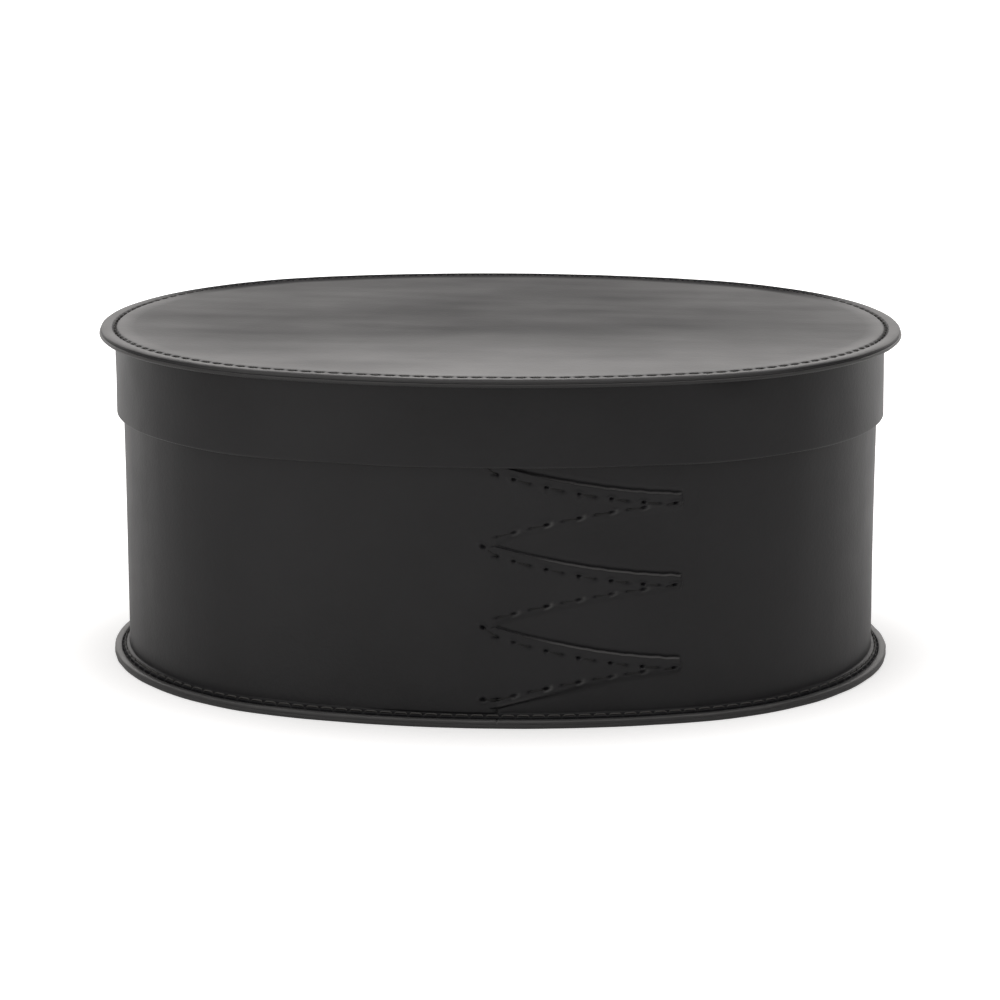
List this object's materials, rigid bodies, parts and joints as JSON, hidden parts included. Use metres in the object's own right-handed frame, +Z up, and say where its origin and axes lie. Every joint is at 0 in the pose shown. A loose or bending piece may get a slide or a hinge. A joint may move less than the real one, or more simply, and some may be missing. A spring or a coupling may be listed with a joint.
{
  "type": "oval box",
  "caption": "Lidded oval storage box of stiff black leather, hand-sewn rims, swallowtail lap on its wall, lift-off lid.",
  "frame": {"origin": "centre of the underside, on the surface that the box stands on", "axes": "+X along the box, +Y across it towards the back, +Z up; the wall's swallowtail lap is on the -Y side"},
  "size_m": [0.27, 0.204, 0.113],
  "materials": {
    "black_leather": "black vegetable-tanned leather, waxed to a satin sheen",
    "lining_leather": "thin black lining leather, matte",
    "waxed_thread": "black waxed linen thread"
  },
  "bodies": {
    "box": {"sole_panel": "black_leather", "wall_strip": "black_leather", "wall_lining": "lining_leather", "sole_lining": "lining_leather", "sole_stitching": "waxed_thread", "lap_stitching": "waxed_thread"},
    "lid": {"lid_top": "black_leather", "lid_band": "black_leather", "lid_lining": "lining_leather", "lid_stitching": "waxed_thread", "band_stitching": "waxed_thread"}
  },
  "joints": [
    {"name": "lid_lift", "type": "slide", "parent": "box", "child": "lid", "axis": [0, 0, 1], "range_m": [0, 0.08]}
  ]
}
